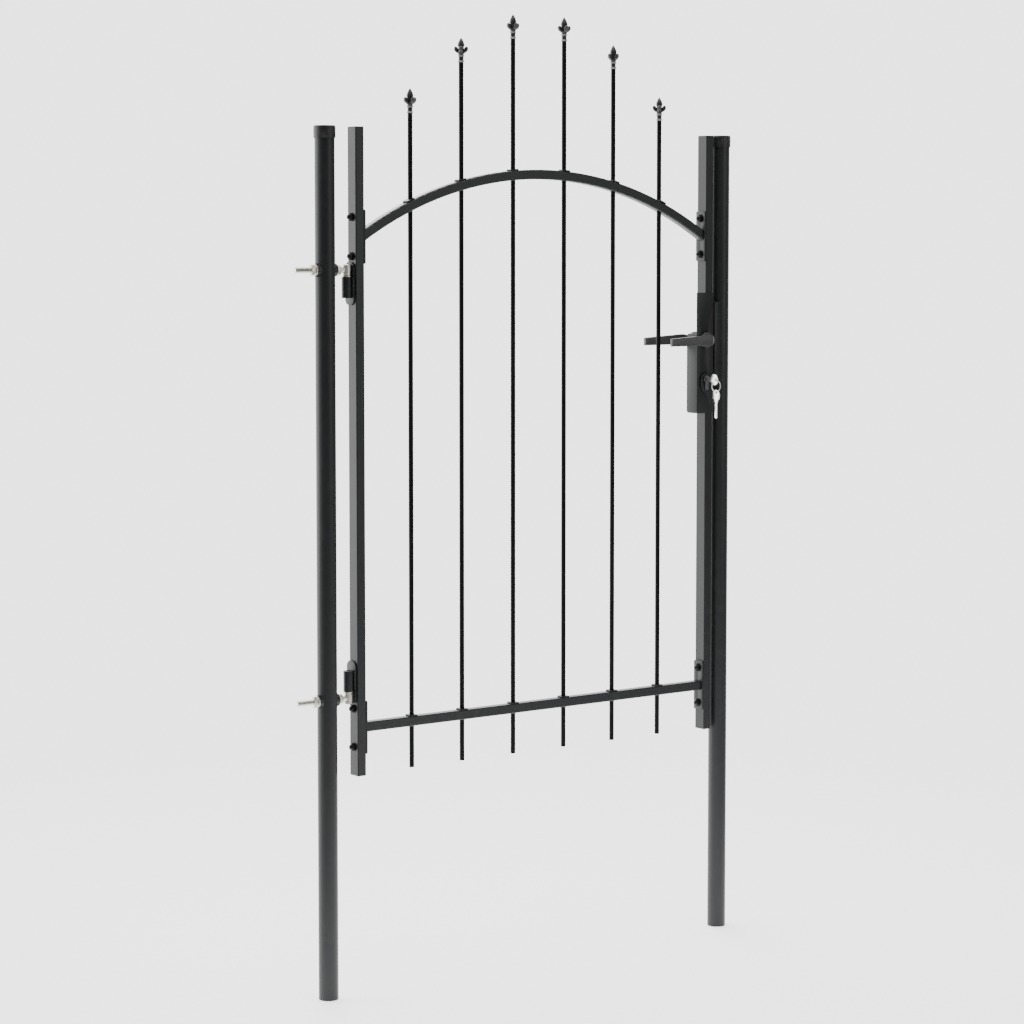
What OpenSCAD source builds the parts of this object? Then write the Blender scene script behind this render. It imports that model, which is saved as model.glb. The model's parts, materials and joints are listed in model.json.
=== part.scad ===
// Garden gate: a single steel leaf with an arched top rail and spear-headed bars,
// hung between two round posts on adjustable hinges, with a lever lock.
// Origin: centre of the hinge post's foot. X runs to the lock post, Y to the back, Z up.

/* [Posts] */
// Height of both posts
post_h = 1750; // [1650:10:1900]
// Distance between the post axes
post_spacing = 1030; // [1020:5:1100]
// Outer diameter of the posts
post_d = 40; // [38:0.5:42]
// Wall of the post tube
post_wall = 1.5; // [1:0.25:3]
// Outer diameter of the post caps
cap_d = 44; // [43.5:0.5:48]
// Height of the post caps
cap_h = 25; // [15:1:40]

/* [Leaf frame] */
// Height of the leaf's lower end above the post feet
leaf_base = 450; // [420:5:460]
// Height of the leaf's upright side members
stile_len = 1300; // [1280:5:1320]
// Width of the side members, seen from the front
stile_w = 20; // [18:0.5:20.5]
// Depth of the side members, from front to back
stile_d = 30; // [28:0.5:32]
// Wall of the side members and rails
frame_wall = 1.5; // [1:0.25:2]
// Gap between the hinge post and the leaf
hinge_gap = 43.5; // [42:0.5:46]
// Gap between the lock post and the leaf
lock_gap = 12.5; // [11.5:0.5:14]
// Width of the square bottom and arched rails
rail_w = 20; // [16:1:22]
// Height of the bottom rail's centre
rail_z = 546; // [540:1:560]
// Height of the arched rail's crown, at its centre line
arch_z = 1662; // [1650:1:1680]
// Radius of the arched rail's centre line
arch_r = 838; // [800:1:900]

/* [Bars] */
// Diameter of the round bars
bar_d = 10; // [8:0.5:11]
// Angle between neighbouring bars along the arch
bar_step = 9.14; // [8.5:0.01:9.3]
// Height of the two middle spear tips
tip_z = 1990; // [1960:5:2040]
// How far the second pair of tips lies below the first
tip_drop = 53; // [40:1:60]
// Height of a spear head
spear_h = 50; // [50:1:60]
// Side of the square collars on the bars
collar_w = 19; // [17:1:22]

/* [Rail fixings] */
// Length of the end plates that carry the rails
plate_len = 108; // [100:1:112]
// Thickness of the end plates
plate_t = 4; // [3:0.5:5]
// Distance between the two bolts of an end plate
plate_pitch = 78; // [76:1:80]
// Diameter of the plate bolts
plate_bolt_d = 8; // [6:1:8]

/* [Hinges] */
// Height of the lower hinge bolt
low_hinge_z = 607; // [606:0.5:612]
// Height of the upper hinge bolt
top_hinge_z = 1467.5; // [1460:0.5:1469]
// Diameter of the hinge bolts and pins
hinge_d = 12; // [10:1:12]
// How far the hinge bolts stand out past the hinge post
hinge_tail = 51.5; // [30:0.5:80]
// Outer diameter of the hinge barrels
barrel_d = 20; // [18:1:20]
// Length of the hinge barrels
barrel_len = 42; // [30:1:44]

/* [Lock] */
// Height of the lever spindle
spindle_z = 1308; // [1300:1:1310]
// Height of the key cylinder's axis
key_z = 1222; // [1216:1:1226]
// Distance from the leaf's closing edge to the spindle and key axes
backset = 22.5; // [22:0.5:24]
// Reach of the levers from the spindle axis
lever_reach = 120; // [100:1:130]
// Distance from the lock's faces to the middle of the lever grips
lever_standoff = 28; // [26:1:35]
// Throw of the latch bolt
latch_throw = 10; // [8:0.5:10]
// Height of the keep on the lock post
keep_len = 180; // [150:5:200]

/* [Hidden] */
$fn = 48;
steel = [0.20, 0.21, 0.21];
zinc = [0.80, 0.80, 0.76];
nickel = [0.85, 0.85, 0.83];
black = [0.06, 0.06, 0.06];

eps = 0.01;
post_r = post_d / 2;
// The leaf, between its two closing edges
leaf_x0 = post_r + hinge_gap;
leaf_x1 = post_spacing - post_r - lock_gap;
leaf_mid = (leaf_x0 + leaf_x1) / 2;
inner_half = (leaf_x1 - leaf_x0) / 2 - stile_w - plate_t;
half_w = stile_w / 2;
half_d = stile_d / 2;
plate_w = stile_d - 1;
stile_r = 2;
rail_r = 2.5;
bolt_r = plate_bolt_d / 2;
arch_low_z = arch_z - arch_r + sqrt(arch_r * arch_r - inner_half * inner_half);
plate_rows = [rail_z, arch_low_z - 2];
// The hinge axis stands clear of the leaf by the tab and the barrel
tab_t = 3;
tab_w = 32;
tab_long = 86;
pin_r = hinge_d / 2;
barrel_r = barrel_d / 2;
axis_x = leaf_x0 - tab_t - barrel_r;
boss_half = 11.5;
boss_r = barrel_r - 1;
thrust_t = 2.3;
running_gap = 0.2;
bore_gap = 0.05;
hinges = [[low_hinge_z, 1], [top_hinge_z, -1]];
barrel_start = boss_half + thrust_t + running_gap;
saddle_t = 3.5;
nut_t = 10;
nut_af = 19;
washer_t = 2.5;
thread_pitch = 1.75;
thread_depth = 0.95;
// The lock
lock_x = leaf_x1 - backset;
case_x0 = leaf_x1 - 46.5;
case_y1 = half_d + 2;
case_z0 = key_z - 74;
case_z1 = spindle_z + 13;
front_plate_t = 2;
front_y = -half_d - front_plate_t;
front_plate_h = 263;
body_z0 = key_z - 60;
body_z1 = case_z1 - 2.2;
body_w = 14;
body_x0 = case_x0 + 8;
forend_w = 24;
forend_t = 2;
forend_x = leaf_x1 - frame_wall;
forend_z0 = key_z - 74;
forend_z1 = spindle_z + 75;
latch_z = spindle_z - 30;
latch_w = 10;
latch_h = 16;
dead_z = key_z + 24;
dead_w = 9;
dead_h = 18;
keep_z1 = spindle_z + 82;
keep_face = leaf_x1 + 5;
keep_w = 32;
rose_t = 8;
neck_r = 8;
key_bow_y = front_y - 30.5;
ring_r = 12;
ring_wire = 0.9;
// Keys: bow, hole and blade
bow_r = 12;
bow_hole = 2.6;
bow_hole_at = 6.5;
key_blade = 38;
// Turn of each spear head on its bar, as it was set by its weld
spear_turns = [6, -10, 8, -2, 12, -17];

function bar_x(i) = leaf_mid + arch_r * sin(bar_step * (i - 2.5));
function bar_slope(i) = bar_step * (i - 2.5);
// Pairs counted from the middle outwards: 0, 1, 2
function bar_pair(i) = abs(i - 2.5) - 0.5;
function bar_tip(i) = tip_z - tip_drop * bar_pair(i) * (bar_pair(i) + 1) / 2;

module round_rect(w, h, r) {
    square([w - 2 * r, h], center = true);
    square([w, h - 2 * r], center = true);
    for (x = [-1, 1], y = [-1, 1])
        translate([x * (w / 2 - r), y * (h / 2 - r)]) circle(r = r);
}

module tube_section(w, d, wall, r) {
    difference() {
        round_rect(w, d, r);
        round_rect(w - 2 * wall, d - 2 * wall, r - wall);
    }
}

// A cylinder along X that starts at the given point
module rod_x(at, r, len) translate(at) rotate([0, 90, 0]) cylinder(r = r, h = len);

// A cylinder along Y that starts at the given point
module rod_y(at, r, len) translate(at) rotate([-90, 0, 0]) cylinder(r = r, h = len);

module post() {
    difference() {
        cylinder(r = post_r, h = post_h, $fn = 64);
        translate([0, 0, -1]) cylinder(r = post_r - post_wall, h = post_h + 2, $fn = 64);
    }
}

module hinge_post() {
    color(steel) difference() {
        post();
        for (h = hinges) rod_x([-post_r - 1, 0, h[0]], pin_r + 0.2, post_d + 2);
    }
}

// Slot in the lock post for a bolt of the given height
module bolt_slot(z, h) {
    translate([post_spacing - post_r - 1, 0, z]) rotate([0, 90, 0])
        linear_extrude(post_wall + 3) round_rect(h + 8, latch_w + 3, 5);
}

module lock_post() {
    color(steel) difference() {
        translate([post_spacing, 0, 0]) post();
        bolt_slot(latch_z, latch_h);
        bolt_slot(dead_z, dead_h);
    }
}

// A cap with a rounded top edge, seated on the end of a post
module post_cap() {
    top = 2.5;
    edge = 3;
    cap_r = cap_d / 2;
    translate([0, 0, post_h + top - cap_h]) rotate_extrude($fn = 64)
        difference() {
            union() {
                square([cap_r, cap_h - edge]);
                square([cap_r - edge, cap_h]);
                translate([cap_r - edge, cap_h - edge]) circle(r = edge);
            }
            translate([-edge, -1]) square([post_r + edge + bore_gap, cap_h - top + 1]);
            translate([-2 * edge, -1]) square([2 * edge, cap_h + 2]);
        }
}

module hinge_post_cap() color(black) post_cap();

module lock_post_cap() color(black) translate([post_spacing, 0, 0]) post_cap();

// Plugs flush with the open feet of the posts
module post_foot_plugs() {
    color(black) for (x = [0, post_spacing]) translate([x, 0, 0])
        cylinder(r = post_r - post_wall, h = 12, $fn = 64);
}

// Channel welded to the lock post, with slots for both bolts in its face
module keep() {
    web = 3;
    leg = 3;
    depth = 18;
    color(steel) difference() {
        translate([keep_face, -keep_w / 2, keep_z1 - keep_len])
            cube([depth, keep_w, keep_len]);
        translate([keep_face + web, leg - keep_w / 2, keep_z1 - keep_len - 1])
            cube([depth, keep_w - 2 * leg, keep_len + 2]);
        translate([post_spacing, 0, keep_z1 - keep_len - 1])
            cylinder(r = post_r, h = keep_len + 2, $fn = 64);
        for (s = [[latch_z, latch_h], [dead_z, dead_h]])
            translate([keep_face - 1, -latch_w / 2 - 1.5, s[0] - s[1] / 2 - 3])
                cube([web + 2, latch_w + 3, s[1] + 6]);
        rod_x([keep_face - 1, 0, keep_z1 - 22], 2.5, web + 2);
    }
}

module keep_screw() {
    z = keep_z1 - 22;
    color(zinc) {
        difference() {
            rod_x([keep_face - 0.9, 0, z], 4.2, 0.9);
            for (a = [0, 90]) translate([keep_face - 0.9, 0, z]) rotate([a, 0, 0])
                cube([0.8, 5, 1], center = true);
        }
        rod_x([keep_face - eps, 0, z], 2.5, 4);
    }
}

// Threaded rod along X with rolled grooves
module threaded(x0, x1) {
    turns = floor((x1 - x0) / thread_pitch);
    profile = [for (i = [0 : turns - 1], k = [0, 1])
        [k == 0 ? pin_r - thread_depth : pin_r, (i + k / 2) * thread_pitch]];
    translate([x0, 0, 0]) rotate([0, 90, 0]) rotate_extrude($fn = 40)
        polygon(concat([[0, 0]], profile,
            [[pin_r - thread_depth, turns * thread_pitch], [pin_r - thread_depth, x1 - x0],
             [0, x1 - x0]]));
}

// Hinge bolt: threaded tail, forged eye and an upright pin; side 1 points up, -1 down
module hinge_bolt(z, side) {
    thread_end = post_r + saddle_t + nut_t;
    pin_len = barrel_start + barrel_len - 2;
    color(zinc) translate([0, 0, z]) {
        threaded(-post_r - hinge_tail, thread_end);
        rod_x([thread_end - eps, 0, 0], pin_r - 0.4, axis_x - thread_end);
        translate([axis_x, 0, 0]) mirror([0, 0, side > 0 ? 0 : 1]) {
            rotate_extrude() difference() {
                translate([0, -boss_half]) square([boss_r, 2 * boss_half]);
                for (e = [-1, 1]) translate([boss_r, e * boss_half]) rotate(45)
                    square(2.4, center = true);
            }
            rotate_extrude() polygon([[0, 0], [pin_r, 0], [pin_r, pin_len - 1.5],
                [pin_r - 1.5, pin_len], [0, pin_len]]);
        }
    }
}

module lower_hinge_bolt() hinge_bolt(low_hinge_z, 1);

module upper_hinge_bolt() hinge_bolt(top_hinge_z, -1);

// Hexagon nut along X with chamfered corners, its flats to the front and back
module hex_nut(af, t, bore) {
    corner = af / sqrt(3);
    cham = corner - af / 2;
    rotate([0, 90, 0]) difference() {
        intersection() {
            cylinder(r = corner, h = t, $fn = 6);
            rotate_extrude() polygon([[0, 0], [af / 2, 0], [corner, cham],
                [corner, t - cham], [af / 2, t], [0, t]]);
        }
        translate([0, 0, -1]) cylinder(r = bore, h = t + 2);
    }
}

module hinge_nuts() {
    outer = -post_r - saddle_t - washer_t - nut_t;
    color(zinc) for (h = hinges, x = [outer, post_r + saddle_t])
        translate([x, 0, h[0]]) hex_nut(nut_af, nut_t, pin_r + bore_gap);
}

module hinge_washers() {
    color(zinc) for (h = hinges) translate([-post_r - saddle_t - washer_t, 0, h[0]])
        rotate([0, 90, 0]) difference() {
            cylinder(r = hinge_d, h = washer_t);
            translate([0, 0, -1]) cylinder(r = pin_r + 0.3, h = washer_t + 2);
        }
}

// Curved seats between the round post and the flat nuts, on both sides of it
module saddle_washers() {
    color(black) for (h = hinges, side = [0, 1]) mirror([side, 0, 0])
        difference() {
            rod_x([post_r - 5, 0, h[0]], 13, saddle_t + 5);
            translate([0, 0, h[0] - 20]) cylinder(r = post_r, h = 40, $fn = 64);
            rod_x([0, 0, h[0]], pin_r + 0.3, post_d);
        }
}

module thrust_washers() {
    color(zinc) for (h = hinges)
        translate([axis_x, 0, h[0] + h[1] * (boss_half + thrust_t / 2)]) difference() {
            cylinder(r = barrel_r - 0.3, h = thrust_t, center = true);
            cylinder(r = pin_r + bore_gap, h = thrust_t + 1, center = true);
        }
}

module hinge_tab(z, side) {
    near = side > 0 ? 11 : 15.5;
    // Wider towards the back
    back = 5;
    color(steel) translate([leaf_x0 - tab_t, back, z - side * near]) rotate([0, 90, 0])
        rotate([0, 0, side > 0 ? 180 : 0]) translate([tab_long / 2, 0])
            linear_extrude(tab_t) round_rect(tab_long, tab_w, 13);
}

module lower_hinge_tab() hinge_tab(low_hinge_z, 1);

module upper_hinge_tab() hinge_tab(top_hinge_z, -1);

// Barrel with a bore for the pin and its weld seat on the tab
module hinge_barrel(z, side) {
    seat = 6;
    color(steel) translate([axis_x, 0, z]) mirror([0, 0, side > 0 ? 0 : 1])
        translate([0, 0, barrel_start]) difference() {
            union() {
                cylinder(r = barrel_r, h = barrel_len, $fn = 64);
                translate([0, -seat, 0]) cube([barrel_r, 2 * seat, barrel_len]);
            }
            translate([0, 0, -1]) cylinder(r = pin_r + bore_gap, h = barrel_len + 2);
        }
}

module lower_hinge_barrel() hinge_barrel(low_hinge_z, 1);

module upper_hinge_barrel() hinge_barrel(top_hinge_z, -1);

// A side member whose left face stands at x
module stile(x) {
    translate([x + half_w, 0, leaf_base]) difference() {
        linear_extrude(stile_len) tube_section(stile_w, stile_d, frame_wall, stile_r);
        for (z = plate_rows, s = [-1, 1])
            rod_x([-stile_w, 0, z + s * plate_pitch / 2 - leaf_base], bolt_r + 0.2,
                2 * stile_w);
    }
}

module hinge_stile() color(steel) stile(leaf_x0);

module lock_stile() {
    color(steel) difference() {
        stile(leaf_x1 - stile_w);
        // Opening for the lock body on the inner side
        translate([leaf_x1 - stile_w - 1, -body_w / 2 - 0.5, body_z0 - 1])
            cube([frame_wall + 2, body_w + 1, body_z1 - body_z0 + 2]);
        // Opening for the forend on the closing edge
        translate([forend_x - 1, -forend_w / 2 - bore_gap, forend_z0 - bore_gap])
            cube([frame_wall + 2, forend_w + 2 * bore_gap,
                forend_z1 - forend_z0 + 2 * bore_gap]);
        // Front and back openings for the spindle neck and the cylinder
        rod_y([lock_x, -stile_d, spindle_z], neck_r, 2 * stile_d);
        translate([lock_x, stile_d, key_z]) rotate([90, 0, 0])
            linear_extrude(2 * stile_d) euro_profile(0.6);
    }
}

// Plugs in the four open ends of the side members
module stile_end_caps() {
    head = 1.5;
    neck = 12;
    slack = 2 * frame_wall + 0.2;
    color(black) for (x = [leaf_x0 + half_w, leaf_x1 - half_w], top = [0, 1])
        translate([x, 0, leaf_base + top * stile_len]) mirror([0, 0, 1 - top]) {
            linear_extrude(head) round_rect(stile_w, stile_d, stile_r);
            translate([0, 0, -neck]) linear_extrude(neck)
                round_rect(stile_w - slack, stile_d - slack, 1);
        }
}

module bar_holes() {
    for (i = [0 : 5]) translate([bar_x(i), 0, leaf_base - 1])
        cylinder(r = bar_d / 2 + 0.1, h = tip_z - leaf_base);
}

module arched_rail() {
    reach = asin(inner_half / arch_r) + 2;
    color(steel) difference() {
        translate([leaf_mid, 0, arch_z - arch_r]) rotate([90, 0, 0])
            rotate([0, 0, 90 - reach]) rotate_extrude(angle = 2 * reach, $fn = 160)
                translate([arch_r, 0]) tube_section(rail_w, rail_w, frame_wall, rail_r);
        for (s = [-1, 1]) translate([leaf_mid + s * (inner_half + 50), 0, arch_z])
            cube([100, 2 * rail_w, 2 * arch_r], center = true);
        bar_holes();
    }
}

module bottom_rail() {
    color(steel) difference() {
        translate([leaf_mid - inner_half, 0, rail_z]) rotate([0, 90, 0])
            linear_extrude(2 * inner_half) tube_section(rail_w, rail_w, frame_wall, rail_r);
        bar_holes();
    }
}

// End plates of both rails; the left face of the column stands at x
module end_plates(x) {
    color(steel) for (z = plate_rows) translate([x, 0, z]) rotate([0, 90, 0])
        linear_extrude(plate_t) difference() {
            round_rect(plate_len, plate_w, 3);
            for (s = [-1, 1]) translate([s * plate_pitch / 2, 0]) circle(r = bolt_r + 0.2);
        }
}

module hinge_side_plates() end_plates(leaf_x0 + stile_w);

module lock_side_plates() end_plates(leaf_x1 - stile_w - plate_t);

// Runs its children once at each plate bolt, at the left face of the clamped pair
module at_plate_bolts() {
    for (x = [leaf_x0, leaf_x1 - stile_w - plate_t], z = plate_rows, s = [-1, 1])
        translate([x, 0, z + s * plate_pitch / 2]) children();
}

clamp_len = stile_w + plate_t;
small_washer_t = 1.6;
cap_nut_af = 13;
cap_nut_t = 5;
cap_nut_h = 9.5;

// Studs welded flush into the far side, with their nuts on the left
module plate_bolts() {
    left = small_washer_t + cap_nut_t;
    color(black) at_plate_bolts() rod_x([-left, 0, 0], bolt_r, clamp_len + left);
}

module plate_washers() {
    color(black) at_plate_bolts() translate([-small_washer_t, 0, 0]) rotate([0, 90, 0])
        difference() {
            cylinder(r = 8.5, h = small_washer_t);
            translate([0, 0, -1]) cylinder(r = bolt_r + bore_gap, h = small_washer_t + 2);
        }
}

// Domed cap nuts on the studs
module plate_cap_nuts() {
    dome_r = 6;
    color(black) at_plate_bolts() translate([-small_washer_t, 0, 0]) rotate([0, -90, 0])
        difference() {
            union() {
                rotate([0, 90, 0]) hex_nut_solid(cap_nut_af, cap_nut_t);
                translate([0, 0, cap_nut_h - dome_r]) sphere(r = dome_r);
            }
            translate([0, 0, -4]) cylinder(r = bolt_r + bore_gap, h = cap_nut_t + 4.5);
            translate([0, 0, -20]) cube(40, center = true);
        }
}

// Hexagon prism along -X with chamfered corners
module hex_nut_solid(af, t) {
    corner = af / sqrt(3);
    cham = corner - af / 2;
    rotate([0, -90, 0]) intersection() {
        cylinder(r = corner, h = t, $fn = 6);
        rotate_extrude() polygon([[0, 0], [corner, 0], [corner, t - cham],
            [af / 2, t], [0, t]]);
    }
}

module bar(i) {
    color(steel) translate([bar_x(i), 0, leaf_base])
        cylinder(r = bar_d / 2, h = bar_tip(i) - spear_h - leaf_base);
}

// One scrolled leaf of a spear head, in the plane of X and Z, tip of the head at the origin
module scroll() {
    rotate([90, 0, 0]) linear_extrude(6.5, center = true) difference() {
        union() {
            translate([10.2, -22.5]) circle(r = 4.8);
            translate([3, -30]) square([7, 6]);
        }
        translate([10.6, -22.5]) circle(r = 2.2);
    }
}

// Cast spear head: a pointed bud, four scrolled leaves, a cup and a ringed socket
module spear_head(i) {
    socket_r = bar_d / 2 + 0.2;
    color(steel) translate([bar_x(i), 0, bar_tip(i)]) rotate([0, 0, spear_turns[i]]) {
        // Bud with ogive sides
        rotate_extrude() intersection() {
            translate([-17.5, -15.5]) circle(r = 23.9, $fn = 96);
            translate([0, -17]) square([8, 17]);
        }
        rotate_extrude() polygon([[0, -15.6], [6.4, -15.6], [5.2, -18.5], [3.8, -20],
            [4.6, -24], [7, -28], [6.6, -30.5], [4.6, -35], [socket_r, -35.4],
            [socket_r + 0.6, -36], [socket_r + 0.6, -38], [socket_r, -38.6],
            [socket_r, -spear_h + 3.6], [socket_r + 0.6, -spear_h + 3],
            [socket_r + 0.6, -spear_h + 0.4], [socket_r, -spear_h], [0, -spear_h]]);
        for (a = [0 : 90 : 270]) rotate([0, 0, a]) scroll();
    }
}

// Square collar on a bar, square to a rail that slopes by the given angle
module collar(x, z, slope, lift) {
    t = 3;
    difference() {
        translate([x, 0, z]) rotate([0, slope, 0]) translate([0, 0, lift])
            linear_extrude(t) round_rect(collar_w, collar_w, 2);
        translate([x, 0, z - collar_w]) cylinder(r = bar_d / 2 + bore_gap, h = 3 * collar_w);
    }
}

module arch_collars() {
    color(black) for (i = [0 : 5])
        collar(bar_x(i), arch_z - arch_r + arch_r * cos(bar_slope(i)), bar_slope(i),
            rail_w / 2 + eps);
}

module rail_collars() {
    color(black) for (i = [0 : 5]) collar(bar_x(i), rail_z, 0, rail_w / 2);
}

// Outline of a profile cylinder, its key axis at the origin, grown by the given margin
module euro_profile(grow) {
    circle(r = 8.5 + grow);
    translate([-5 - grow, -19.5]) square([10 + 2 * grow, 19.5]);
    translate([0, -19.5]) circle(r = 5 + grow);
}

// Folded box behind the front plate, with rounded back corners, round the side member
module lock_case() {
    wall = 2;
    corner = 6;
    depth = case_y1 + half_d;
    tall = case_z1 - case_z0;
    color(steel) difference() {
        translate([case_x0, 0, case_z0]) rotate([90, 0, 90])
            linear_extrude(leaf_x1 - case_x0) case_outline(depth, tall, corner);
        translate([case_x0 + wall, -half_d - 1, case_z0 + wall])
            cube([leaf_x1 - case_x0 - 2 * wall, depth + 1 - wall, tall - 2 * wall]);
        translate([leaf_x1 - stile_w - bore_gap, -half_d - 1, case_z0 - 1])
            cube([stile_w + 1, stile_d + 1 + bore_gap, tall + 2]);
        rod_y([lock_x, 0, spindle_z], neck_r - 1, case_y1 + 1);
        translate([lock_x, case_y1 + 1, key_z]) rotate([90, 0, 0])
            linear_extrude(case_y1) euro_profile(0.3);
    }
}

// Side outline of the case: Y across, Z up, from the front face and the case's foot
module case_outline(depth, tall, r) {
    translate([-half_d, 0]) {
        square([depth - r, tall]);
        translate([0, r]) square([depth, tall - 2 * r]);
        for (z = [r, tall - r]) translate([depth - r, z]) circle(r = r);
    }
}

module lock_front_plate() {
    wide = leaf_x1 - case_x0;
    color(steel) difference() {
        translate([case_x0 + wide / 2, -half_d, case_z0 + front_plate_h / 2])
            rotate([90, 0, 0]) linear_extrude(front_plate_t)
                round_rect(wide, front_plate_h, 1.5);
        rod_y([lock_x, -stile_d, spindle_z], neck_r - 1, stile_d);
        translate([lock_x, 0, key_z]) rotate([90, 0, 0])
            linear_extrude(stile_d) euro_profile(0.3);
    }
}

// Pressed shell of the mortice lock with room for its moving parts
module lock_body() {
    wall = 1.2;
    wide = forend_x - body_x0;
    tall = body_z1 - body_z0;
    color(zinc) difference() {
        translate([body_x0, -body_w / 2, body_z0]) cube([wide, body_w, tall]);
        translate([body_x0 + wall, -body_w / 2 + wall, body_z0 + wall])
            cube([wide, body_w - 2 * wall, tall - 2 * wall]);
        rod_y([lock_x, -body_w, spindle_z], 7, 2 * body_w);
        translate([lock_x, body_w, key_z]) rotate([90, 0, 0])
            linear_extrude(2 * body_w) euro_profile(0.3);
    }
}

module lock_forend() {
    tall = forend_z1 - forend_z0;
    color(zinc) difference() {
        translate([forend_x, -forend_w / 2, forend_z0]) cube([forend_t, forend_w, tall]);
        translate([forend_x - 1, -latch_w / 2 - 0.3, latch_z - latch_h / 2 - 0.3])
            cube([forend_t + 2, latch_w + 0.6, latch_h + 0.6]);
        translate([forend_x - 1, -dead_w / 2 - 0.3, dead_z - dead_h / 2 - 0.3])
            cube([forend_t + 2, dead_w + 0.6, dead_h + 0.6]);
        for (z = [forend_z0 + 8, forend_z1 - 8, key_z - 17])
            rod_x([forend_x - 1, 0, z], 2.6, forend_t + 2);
    }
}

// Countersunk-looking low screws that hold the forend
module forend_screws() {
    color(zinc) for (z = [forend_z0 + 8, forend_z1 - 8]) {
        rod_x([forend_x - 10, 0, z], 2.5, 10 + forend_t);
        difference() {
            rod_x([forend_x + forend_t, 0, z], 4, 0.8);
            translate([forend_x + forend_t + 0.8, 0, z]) for (a = [0, 90]) rotate([a, 0, 0])
                cube([1, 5, 1], center = true);
        }
    }
}

// Collars round the lever necks on the front plate and on the back of the case
module lever_roses() {
    color(steel) for (y = [front_y - rose_t, case_y1]) difference() {
        rod_y([lock_x, y, spindle_z], 16.5, rose_t);
        rod_y([lock_x, y - 1, spindle_z], neck_r + bore_gap, rose_t + 2);
    }
}

module cylinder_roses() {
    t = 4;
    color(steel) for (y = [front_y, case_y1 + t]) translate([lock_x, y, key_z - 8])
        rotate([90, 0, 0]) linear_extrude(t) difference() {
            union() {
                square([30, 12], center = true);
                for (s = [-1, 1]) translate([0, 6 * s]) circle(r = 15);
            }
            translate([0, 8]) euro_profile(0.1);
        }
}

plug_r = 5.6;
cyl_front = front_y - 6;
plug_back = 4.5;

module lock_cylinder() {
    back = case_y1 + 6;
    screw_x = 12;
    color(nickel) difference() {
        translate([lock_x, back, key_z]) rotate([90, 0, 0])
            linear_extrude(back - cyl_front) euro_profile(0);
        rod_y([lock_x, cyl_front - 1, key_z], plug_r + bore_gap, plug_back + 1 - cyl_front);
        // Keyway of the inner half
        translate([lock_x - 1.2, back - 8, key_z - 4.2]) cube([2.4, 9, 8.4]);
        // Retaining screw's hole, across the lower lobe
        rod_x([lock_x - screw_x / 2, 0, key_z - 17], 2.6, screw_x);
    }
}

module cylinder_screw() {
    color(zinc) {
        rod_x([lock_x - 4, 0, key_z - 17], 2.5, leaf_x1 - lock_x + 4);
        rod_x([forend_x + forend_t, 0, key_z - 17], 4, 0.8);
    }
}

// Grip outline in the plane of X and Z with the spindle at the origin, tapered to its tip
module grip_outline() {
    deep = 11.5;
    slim = 5.5;
    tip = 3;
    circle(r = deep);
    polygon([[0, deep], [tip - lever_reach, slim], [-lever_reach, slim - tip],
        [-lever_reach, tip - deep], [tip - lever_reach, -deep], [0, -deep]]);
}

// Plan outline: a straight grip with a rounded elbow into the neck
module grip_plan() {
    half = 4;
    bend = 16;
    fillet = 8;
    translate([-lever_reach - 1, -half]) square([lever_reach + 1 - neck_r, 2 * half]);
    intersection() {
        translate([neck_r - bend, bend - half]) circle(r = bend);
        translate([neck_r - bend, -half]) square(bend);
    }
    difference() {
        translate([-neck_r - fillet, 0]) square([fillet + eps, half + fillet]);
        translate([-neck_r - fillet, half + fillet]) circle(r = fillet);
    }
}

// Lever for the front; the grip's middle lies at the given distance from the spindle's root
module lever(face_y, out) {
    grip_y = face_y + out * lever_standoff;
    socket = 24;
    color(steel) difference() {
        union() {
            rod_y([lock_x, min(face_y + out * 0.3, grip_y - out * 11), spindle_z], neck_r,
                lever_standoff - 11.3);
            translate([lock_x, grip_y, spindle_z]) intersection() {
                rotate([90, 0, 0]) linear_extrude(30, center = true) grip_outline();
                mirror([0, out > 0 ? 1 : 0, 0]) linear_extrude(60, center = true)
                    grip_plan();
            }
        }
        // Square socket for the spindle
        translate([lock_x, face_y + out * (socket / 2 - 1), spindle_z])
            cube([8.1, socket, 8.1], center = true);
    }
}

module front_lever() lever(front_y, -1);

module rear_lever() lever(case_y1, 1);

module spindle() {
    y0 = front_y - 22;
    y1 = case_y1 + 22;
    color(zinc) translate([lock_x - 4, y0, spindle_z - 4]) cube([8, y1 - y0, 8]);
}

module follower() {
    t = body_w - 3;
    color(zinc) difference() {
        union() {
            rod_y([lock_x, -t / 2, spindle_z], 8, t);
            // Arm that works the latch bolt's rocker
            translate([lock_x - 13, -t / 2, spindle_z - 8]) cube([13, t, 6]);
        }
        translate([lock_x, 0, spindle_z]) cube([8.05, body_w, 8.05], center = true);
    }
}

// Sprung bolt with a bevelled nose
module latch_bolt() {
    nose = forend_x + forend_t + latch_throw;
    slope = 7;
    tail_x = lock_x + 4;
    color(zinc) {
        translate([tail_x, -latch_w / 2, latch_z - latch_h / 2]) difference() {
            cube([nose - tail_x, latch_w, latch_h]);
            translate([nose - tail_x, 0, -1]) linear_extrude(latch_h + 2)
                polygon([[-slope, -1], [1, latch_w * 0.75], [1, -1]]);
        }
        translate([tail_x - 8, -3, latch_z - 4]) cube([8 + eps, 6, 6]);
    }
}

module dead_bolt() {
    tail_x = lock_x - 10;
    color(zinc) translate([tail_x, -dead_w / 2, dead_z - dead_h / 2])
        cube([forend_x + forend_t - tail_x, dead_w, dead_h]);
}

module cylinder_plug() {
    color(nickel) difference() {
        rod_y([lock_x, cyl_front, key_z], plug_r, plug_back - cyl_front);
        translate([lock_x - 1.15, cyl_front - 1, key_z - 4.1])
            cube([2.3, plug_back - cyl_front, 8.2]);
    }
}

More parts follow.
